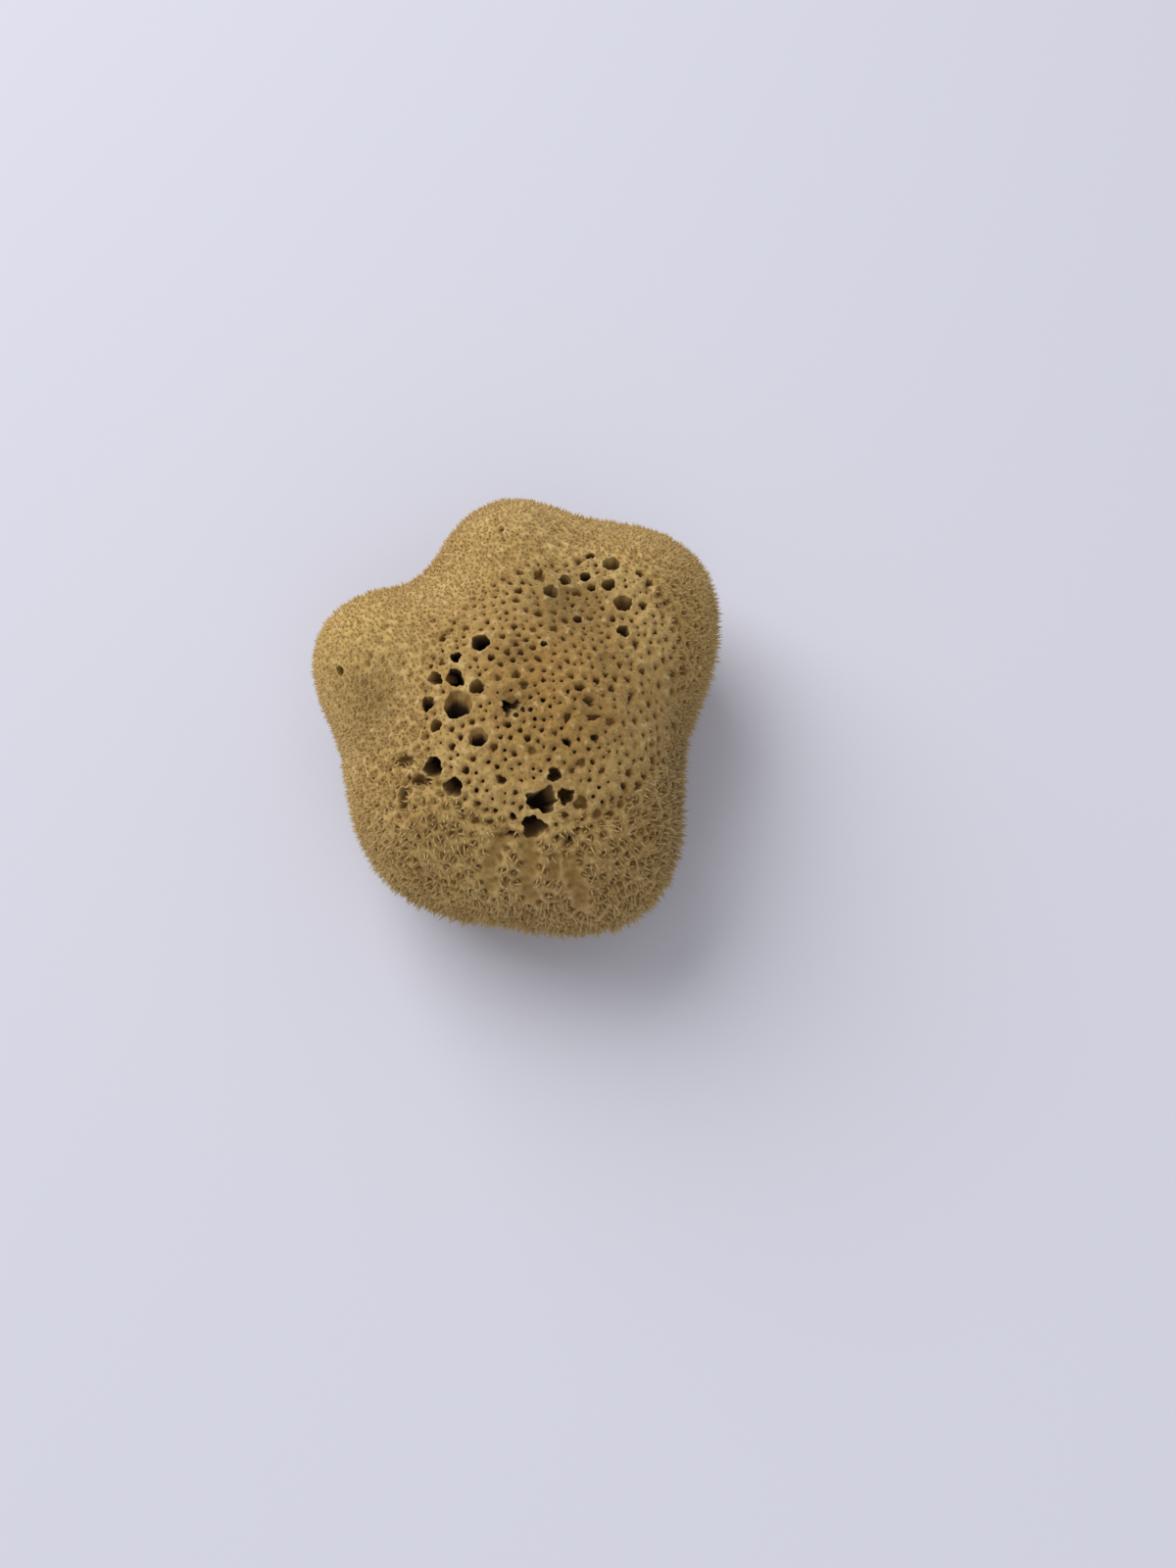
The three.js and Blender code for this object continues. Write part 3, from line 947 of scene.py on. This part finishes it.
    def _sink(self, ball: bmesh.types.BMesh, bore: Bore, mouths: list[Mouth], seats: list) -> None:
        """Sinks every mouth of one kind, all of them a step at a time.

        Args:
            ball: The roughened mesh with its mouths marked.
            bore: The kind of mouth.
            mouths: All the mouths in order.
            seats: Where each of them sits.
        """
        inside = ball.verts.layers.int["mouth"]
        depth = ball.verts.layers.float[SHADE_DEPTH]
        faces = []
        for face in ball.faces:
            numbers = {v[inside] for v in face.verts}
            if len(numbers) == 1 and 0 not in numbers and mouths[min(numbers) - 1].bore is bore:
                faces.append(face)
        before = (0.0, 1.0)
        for share, width in bore.value.steps:
            made = bmesh.ops.extrude_face_region(ball, geom=faces)["geom"]
            bmesh.ops.delete(ball, geom=faces, context="FACES")
            faces = [g for g in made if isinstance(g, bmesh.types.BMFace)]
            for vert in (g for g in made if isinstance(g, bmesh.types.BMVert)):
                mouth = mouths[vert[inside] - 1]
                centre, outward, _, _ = seats[vert[inside] - 1]
                way = (Vector((*mouth.lean, 0.0)) - outward) * mouth.depth
                offset = vert.co - (centre + way * before[0])
                wobble = noise.noise_vector(vert.co * self.wobble_pitch)
                wobble *= self.wobble_share * mouth.radius
                vert.co = centre + way * share + offset * (width / before[1]) + wobble
                # Painted shade: each step down adds to the shade depth, faster past the bore's shade start.
                gain = self.shade_gain if before[0] >= bore.value.shade_from else 1.0
                vert[depth] += (share - before[0]) * mouth.depth * gain
            before = (share, width)

    def _half(self, ball: bmesh.types.BMesh, name: str, upper: bool) -> bpy.types.Mesh:
        """Cuts the body level and closes the half that is kept.

        Args:
            ball: The finished body, in millimetres.
            name: The half's name.
            upper: Whether the crown is kept, or the foot.

        Returns:
            The closed half as a mesh in metres.
        """
        half = ball.copy()
        everything = [*half.verts, *half.edges, *half.faces]
        level = (0.0, 0.0, self.split_height)
        cut = {"plane_co": level, "plane_no": (0, 0, 1), "clear_inner": upper, "clear_outer": not upper}
        bmesh.ops.bisect_plane(half, geom=everything, **cut)
        rim = [v for v in half.verts if v.is_boundary]
        bmesh.ops.remove_doubles(half, verts=rim, dist=self.weld)
        edges = [e for e in half.edges if e.is_boundary]
        for edge in edges:
            edge.smooth = False
        made = bmesh.ops.extrude_edge_only(half, edges=edges)["geom"]
        for vert in (g for g in made if isinstance(g, bmesh.types.BMVert)):
            step = self.cap_step if upper else -self.cap_step
            vert.co = (vert.co.x * self.cap_inset, vert.co.y * self.cap_inset, vert.co.z + step)
        bmesh.ops.triangle_fill(half, use_beauty=False, edges=[e for e in half.edges if e.is_boundary])
        bmesh.ops.recalc_face_normals(half, faces=half.faces)
        bmesh.ops.scale(half, vec=(MM, MM, MM), verts=half.verts)
        for face in half.faces:
            face.smooth = True
        mesh = bpy.data.meshes.new(name)
        half.to_mesh(mesh)
        half.free()
        return mesh

    def build(self, material: bpy.types.Material) -> Skin:
        """Builds the body and adds it to the scene in place of the plain solid.

        Args:
            material: The body's finish.

        Returns:
            The bare skin that the coat grows on.
        """
        mouths = [*OUTLETS, *GROOVES, *CUT_CANALS, *self.pores()]
        ball = self._ball()
        self._settle(ball, self.form.points(np.array([v.co for v in ball.verts])))
        seats = self._seats(mouths)
        lips = self._open(ball, mouths, seats)
        pits = self._pits(ball)
        self._settle(ball, self._relief(ball, lips, pits))
        skin = self._skin(ball, pits)
        for bore in Bore:
            self._sink(ball, bore, mouths, seats)
        for name, upper in (("sponge_crown", True), ("sponge_foot", False)):
            piece = add_piece(name, self._half(ball, name, upper), material)
            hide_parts(CAD_NODE)
        ball.free()
        return skin


@dataclass(frozen=True)
class Spike:
    """The shape of one spike: how high its rings stand, how wide they are, and how many sides it has."""

    sides: int
    heights: tuple[float, ...]
    widths: tuple[float, ...]

    def faces(self) -> np.ndarray:
        """Lists the corners of a spike's triangles, counting its vertices ring by ring up to the tip."""
        rings = len(self.heights)
        tip = rings * self.sides
        made = [(0, side + 1, side) for side in range(1, self.sides - 1)]
        for side in range(self.sides):
            after = (side + 1) % self.sides
            for ring in range(rings - 1):
                low, high = ring * self.sides, (ring + 1) * self.sides
                made.append((low + side, low + after, high + after))
                made.append((low + side, high + after, high + side))
            last = (rings - 1) * self.sides
            made.append((last + side, last + after, tip))
        return np.array(made)


@dataclass
class Spikes:
    """Many spikes as arrays: roots, outward ways, sideways leans, lengths and widths in millimetres.

    The starts are how far from root to tip each spike's colour begins, which sets how much painted root
    shade it gets.
    """

    roots: np.ndarray
    normals: np.ndarray
    leans: np.ndarray
    lengths: np.ndarray
    widths: np.ndarray
    starts: np.ndarray

    def part(self, chosen: np.ndarray) -> "Spikes":
        """Returns the chosen spikes alone."""
        return Spikes(*(values[chosen] for values in vars(self).values()))

    def joined(self, other: "Spikes") -> "Spikes":
        """Returns these spikes and the others together."""
        pairs = zip(vars(self).values(), vars(other).values())
        return Spikes(*(np.concatenate(pair) for pair in pairs))

    def frames(self) -> tuple[np.ndarray, np.ndarray]:
        """Returns two directions square to each spike's outward way."""
        helper = np.where(np.abs(self.normals[:, 2:]) < 0.9, [[0.0, 0.0, 1.0]], [[1.0, 0.0, 0.0]])
        first = unit(np.cross(self.normals, helper))
        return first, np.cross(self.normals, first)

    def centres(self, height: float) -> np.ndarray:
        """Returns where each spike's middle line is at a share of its length."""
        climb = self.normals * (height * self.lengths)[:, None]
        bend = max(height, 0.0) ** BEND_POWER
        return self.roots + climb + self.leans * (bend * self.lengths)[:, None]

    def mesh(self, name: str, spike: Spike, rng: np.random.Generator, wobble: float) -> bpy.types.Mesh:
        """Joins all the spikes in one mesh.

        Args:
            name: The mesh's name.
            spike: The shape that they share.
            rng: The seeded source of chance.
            wobble: How much the rings' corners stray, as a share of their width.

        Returns:
            The mesh in metres, with its root to tip attribute and the map that its colours are kept on.
        """
        count = len(self.roots)
        first, second = self.frames()
        twist = rng.random(count) * math.tau
        rings = []
        for height, width in zip(spike.heights, spike.widths):
            centre = self.centres(height)
            for side in range(spike.sides):
                angle = twist + math.tau * side / spike.sides
                radius = self.widths * width * (1 + wobble * rng.uniform(-1, 1, count))
                arm = first * np.cos(angle)[:, None] + second * np.sin(angle)[:, None]
                rings.append(centre + arm * radius[:, None])
        rings.append(self.centres(1.0))
        points = np.stack(rings, axis=1)
        rise = np.repeat(np.clip([*spike.heights, 1.0], 0, 1), [spike.sides] * len(spike.heights) + [1])
        faces = spike.faces()
        corners = (faces[None] + (np.arange(count) * points.shape[1])[:, None, None]).reshape(-1)
        mesh = bpy.data.meshes.new(name)
        mesh.vertices.add(points.shape[0] * points.shape[1])
        mesh.vertices.foreach_set("co", (points * MM).astype(np.float32).ravel())
        mesh.loops.add(len(corners))
        mesh.loops.foreach_set("vertex_index", corners.astype(np.int32))
        mesh.polygons.add(len(corners) // 3)
        mesh.polygons.foreach_set("loop_start", np.arange(0, len(corners), 3, dtype=np.int32))
        mesh.update(calc_edges=True)
        held = mesh.attributes.new(RISE, "FLOAT", "POINT")
        values = self.starts[:, None] + (1 - self.starts[:, None]) * rise[None]
        held.data.foreach_set("value", values.astype(np.float32).ravel())
        self._lay_out(mesh, spike, faces)
        mesh.shade_smooth()
        return mesh

    def _lay_out(self, mesh: bpy.types.Mesh, spike: Spike, faces: np.ndarray) -> None:
        """Gives each spike a cell of its own on the map that colours are kept on, its tip at the top."""
        count = len(self.roots)
        across = math.ceil(math.sqrt(count))
        rings = len(spike.heights)
        side = np.append(np.tile(np.arange(spike.sides), rings), spike.sides / 2 - 0.5)
        up = np.repeat(np.arange(rings + 1) / rings, [spike.sides] * rings + [1])
        u = side[faces]
        wraps = (u.max(axis=1) - u.min(axis=1) > spike.sides / 2)[:, None]
        u = np.where(wraps & (u < 1), spike.sides, u)
        cell = np.stack([u / spike.sides, up[faces]], axis=2).reshape(1, -1, 2)
        cell = CELL_EDGE + (1 - 2 * CELL_EDGE) * cell
        number = np.arange(count)
        corner = np.stack([number % across, number // across], axis=1)[:, None, :]
        layer = mesh.uv_layers.new(name=BAKE_MAP)
        layer.uv.foreach_set("vector", ((corner + cell) / across).astype(np.float32).ravel())


@dataclass
class SpongeCoat:
    """The coat that covers the skin: pointed tufts, fibres that stand round them, and the crown's fuzz."""

    form: SpongeForm
    skin: Skin
    tuft: Spike = Spike(4, (-0.15, 0.3, 0.65), (1.0, 0.6, 0.28))
    fibre: Spike = Spike(3, (-0.1,), (1.0,))
    tuft_tries: int = 130000
    tuft_gap: float = 1.4
    tuft_least: float = 1.7
    tuft_most: float = 3.5
    tuft_spread: float = 0.34
    pit_clearance: float = 1.2
    crown_share: float = 0.3
    crown_slim: float = 0.45
    flank_start: float = 0.65
    crown_start: float = 0.85
    comb: float = 0.3
    stray: float = 0.2
    fibres_each: int = 7
    fibre_width: float = 0.06
    fuzz_count: int = 14000
    fuzz_least: float = 0.35
    fuzz_most: float = 0.8
    fuzz_start: float = 0.8
    floor_gap: float = 0.25
    foot_room: float = 0.6
    tuft_wobble: float = 0.3
    pit_spread: tuple[float, float] = (0.6, 1.2)
    bare_limits: tuple[float, float] = (0.3, 1.3)
    furrow_edge: float = 0.02
    gap_power: float = 0.3
    gap_spread: tuple[float, float] = (0.85, 1.15)
    comb_waves: int = 6
    comb_pitch: tuple[float, float] = (7.0, 22.0)
    fibre_out: tuple[float, float] = (0.3, 1.7)
    fibre_splay: tuple[float, float] = (-0.6, 0.8)
    fibre_follow: float = 0.6
    fibre_stray: float = 0.25
    fibre_share: tuple[float, float] = (0.4, 0.85)
    fibre_spread: tuple[float, float] = (0.7, 1.3)
    fuzz_tries: int = 4
    fuzz_limits: tuple[float, float] = (0.1, 0.6)
    fuzz_lean: float = 0.7
    fuzz_spread: tuple[float, float] = (0.6, 1.0)
    seed: int = 23

    def _combed(self, places: np.ndarray, normals: np.ndarray, rng: np.random.Generator) -> np.ndarray:
        """Leans the spikes along the skin, with neighbours leaning alike.

        Args:
            places: Roots of the spikes.
            normals: Outward normals there.
            rng: The seeded source of chance.

        Returns:
            Sideways leans as shares of the spikes' lengths.
        """
        lean = np.zeros_like(places)
        for _ in range(self.comb_waves):
            wave = unit(rng.normal(size=3)) * math.tau / rng.uniform(*self.comb_pitch)
            lean += rng.normal(size=3) * np.sin(places @ wave + rng.random() * math.tau)[:, None]
        lean = lean * (self.comb / math.sqrt(self.comb_waves)) + rng.normal(size=places.shape) * self.stray
        return lean - normals * (lean * normals).sum(axis=1, keepdims=True)

    def tufts(self) -> Spikes:
        """Places the tufts, long and close on the flanks, short between the crown's pores."""
        rng = np.random.default_rng(self.seed)
        places, normals = self.skin.scatter(rng, self.tuft_tries)
        pits = np.array([self.skin.pits.find(p)[2] for p in places])
        clear = pits > self.pit_clearance * rng.uniform(*self.pit_spread, len(places))
        clear &= self.form.bareness(places) < rng.uniform(*self.bare_limits, len(places))
        clear &= self.form.furrow_share(places) < self.furrow_edge
        places, normals = places[clear], normals[clear]
        gaps = self.tuft_gap * self.form.shag(places) ** self.gap_power
        gaps *= rng.uniform(*self.gap_spread, len(places))
        kept = keep_apart(places, gaps)
        places, normals, gaps = places[kept], normals[kept], gaps[kept]
        bare = self.form.bareness(places)
        share = (1 - bare * (1 - self.crown_share)) * self.form.shag(places)
        lengths = rng.uniform(self.tuft_least, self.tuft_most, len(kept)) * share
        widths = self.tuft_spread * gaps * (1 - bare * self.crown_slim)
        smooth = 1 - self.form.shag(places) * (1 - bare)
        starts = self.flank_start + smooth * (self.crown_start - self.flank_start)
        leans = self._combed(places, normals, rng)
        room = np.maximum(places[:, 2] - self.floor_gap, 0.0)
        drop = -(normals[:, 2] + leans[:, 2])
        lengths = np.where(drop > 0, np.minimum(lengths, room / np.maximum(drop, 1e-6)), lengths)
        above = places[:, 2] > self.floor_gap + self.foot_room * widths
        return Spikes(places, normals, leans, lengths, widths, starts).part(above)

    def fibres(self, tufts: Spikes) -> Spikes:
        """Stands thin fibres round every tuft, leaning with it and splaying a little."""
        rng = np.random.default_rng(self.seed + 1)
        around = np.repeat(np.arange(len(tufts.roots)), self.fibres_each)
        host = tufts.part(around)
        first, second = host.frames()
        angle = rng.random(len(around)) * math.tau
        arm = first * np.cos(angle)[:, None] + second * np.sin(angle)[:, None]
        out = host.widths * rng.uniform(*self.fibre_out, len(around))
        roots = host.roots + arm * out[:, None]
        splay = arm * rng.uniform(*self.fibre_splay, len(around))[:, None]
        leans = host.leans * self.fibre_follow + splay + rng.normal(size=roots.shape) * self.fibre_stray
        lengths = host.lengths * rng.uniform(*self.fibre_share, len(around))
        widths = self.fibre_width * rng.uniform(*self.fibre_spread, len(around))
        made = Spikes(roots, host.normals, leans, lengths, widths, host.starts)
        tips = made.centres(1.0)[:, 2]
        return made.part((tips > self.floor_gap) & (roots[:, 2] > self.floor_gap))

    def fuzz(self) -> Spikes:
        """Scatters short thin fibres over the bare crown, leaning every way."""
        rng = np.random.default_rng(self.seed + 3)
        places, normals = self.skin.scatter(rng, self.fuzz_tries * self.fuzz_count)
        limits = rng.uniform(*self.fuzz_limits, len(places))
        chosen = np.flatnonzero(self.form.bareness(places) > limits)[: self.fuzz_count]
        places, normals = places[chosen], normals[chosen]
        leans = rng.normal(size=places.shape) * self.fuzz_lean
        leans -= normals * (leans * normals).sum(axis=1, keepdims=True)
        lengths = rng.uniform(self.fuzz_least, self.fuzz_most, len(chosen))
        widths = self.fibre_width * rng.uniform(*self.fuzz_spread, len(chosen))
        return Spikes(places, normals, leans, lengths, widths, np.full(len(chosen), self.fuzz_start))

    def build(self, material: bpy.types.Material) -> None:
        """Builds the coat's pieces, each kind in three parts from the foot up."""
        rng = np.random.default_rng(self.seed + 2)
        tufts = self.tufts()
        fibres = self.fibres(tufts).joined(self.fuzz())
        for kind, spikes, spike, wobble in (
            ("tufts", tufts, self.tuft, self.tuft_wobble),
            ("fibres", fibres, self.fibre, 0.0),
        ):
            order = np.argsort(spikes.roots[:, 2], kind="stable")
            for level, chosen in zip(("lower", "middle", "upper"), np.array_split(order, 3)):
                name = f"sponge_{kind}_{level}"
                add_piece(name, spikes.part(chosen).mesh(name, spike, rng, wobble), material)


@dataclass(frozen=True)
class Lamp:
    """A soft studio light: where it stands and how wide it is, in metres, its power and its colour."""

    name: str
    place: tuple[float, float, float]
    width: float
    power: float
    colour: tuple[float, float, float]


@dataclass(frozen=True)
class Studio:
    """The pale floor, the soft lights and the camera at the photograph's viewing angle."""

    picture: tuple[int, int] = (1200, 1600)
    focal_pixels: float = 1200.0
    anchor_pixel: tuple[float, float] = (530.0, 735.0)
    anchor_height: float = 0.034
    distance: float = 0.348
    elevation: float = 70.0
    sensor: float = 36.0
    clip_start: float = 0.01
    floor_side: float = 6.0
    floor_drop: float = 0.0002
    floor_colour: Colour = srgb(211, 213, 229)
    floor_roughness: float = 0.8
    world_colour: Colour = (1.0, 0.99, 0.98, 1.0)
    world_strength: float = 0.42
    lamps: tuple[Lamp, ...] = (
        Lamp("key", (-1.5, 1.5, 2.0), 2.6, 79.0, (1.0, 0.98, 0.95)),
        Lamp("fill", (0.3, -0.9, 1.0), 1.0, 2.5, (1.0, 0.99, 0.97)),
    )

    def floor(self) -> None:
        """Lays a plain pale floor just under the cut face."""
        sheet = bmesh.new()
        bmesh.ops.create_grid(sheet, x_segments=1, y_segments=1, size=self.floor_side / 2)
        bmesh.ops.translate(sheet, vec=(0.0, 0.0, -self.floor_drop), verts=sheet.verts)
        mesh = bpy.data.meshes.new("floor")
        sheet.to_mesh(mesh)
        sheet.free()
        bench = Bench("floor")
        inputs = {"Base Color": self.floor_colour, "Roughness": self.floor_roughness}
        mesh.materials.append(bench.surface(inputs))
        floor = bpy.data.objects.new("floor", mesh)
        bpy.context.scene.collection.objects.link(floor)

    def light(self) -> None:
        """Hangs the soft lights and sets an even grey world."""
        scene = bpy.context.scene
        for lamp in self.lamps:
            data = bpy.data.lights.new(lamp.name, "AREA")
            data.size = lamp.width
            data.energy = lamp.power
            data.color = lamp.colour
            light = bpy.data.objects.new(lamp.name, data)
            light.location = lamp.place
            light.rotation_euler = (-Vector(lamp.place)).to_track_quat("-Z", "Y").to_euler()
            scene.collection.objects.link(light)
        world = bpy.data.worlds.new("studio")
        world.use_nodes = True
        sky = world.node_tree.nodes["Background"]
        sky.inputs["Color"].default_value = self.world_colour
        sky.inputs["Strength"].default_value = self.world_strength
        scene.world = world
        scene.view_settings.view_transform = "Standard"

    def camera(self) -> None:
        """Places the camera so that the crown falls on its pixel of the picture."""
        slope = math.radians(self.elevation)
        back = Vector((0.0, -math.cos(slope), math.sin(slope)))
        right = Vector((1.0, 0.0, 0.0))
        up = Vector((0.0, math.sin(slope), math.cos(slope)))
        aside = (self.anchor_pixel[0] - self.picture[0] / 2) / self.focal_pixels
        above = (self.picture[1] / 2 - self.anchor_pixel[1]) / self.focal_pixels
        target = Vector((0.0, 0.0, self.anchor_height))
        data = bpy.data.cameras.new("camera")
        data.sensor_width = self.sensor
        data.lens = self.sensor * self.focal_pixels / max(self.picture)
        data.clip_start = self.clip_start
        camera = bpy.data.objects.new("camera", data)
        camera.location = target + (back - right * aside - up * above) * self.distance
        camera.rotation_euler = (-back).to_track_quat("-Z", "Y").to_euler()
        bpy.context.scene.collection.objects.link(camera)
        bpy.context.scene.camera = camera

    def build(self) -> None:
        """Sets up the whole studio."""
        self.camera()
        self.floor()
        self.light()


def main() -> None:
    """Builds the studio, the body and the coat in order."""
    logging.basicConfig(level=logging.INFO, format="%(name)s: %(message)s")
    Studio().build()
    form = SpongeForm()
    finish = SpongeFinish()
    skin = SpongeBody(form).build(finish.body())
    SpongeCoat(form, skin).build(finish.coat())


if __name__ == "__main__":
    main()
